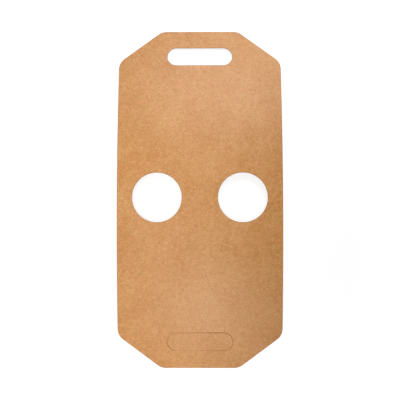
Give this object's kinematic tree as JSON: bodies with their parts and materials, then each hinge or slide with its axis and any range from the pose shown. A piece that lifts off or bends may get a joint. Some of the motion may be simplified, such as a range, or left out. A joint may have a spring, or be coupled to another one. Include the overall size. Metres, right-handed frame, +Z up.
{
  "type": "cup carrier",
  "caption": "Flat die-cut kraft-board carrier: a slightly bowed sheet with angled rounded corners, round holes that hold takeaway cups, a punched hand hole and a perforated hand-hole flap.",
  "frame": {"origin": "middle of the sheet in plan, on the surface that its two end edges rest on", "axes": "+X across the sheet through the cup holes, +Y along the sheet towards the open hand hole, +Z up, out of the raised side of the bow"},
  "size_m": [0.224, 0.4672, 0.0187],
  "materials": {
    "kraft_board": "matte"
  },
  "bodies": {
    "root": {"carrier_board": "kraft_board"}
  },
  "joints": []
}
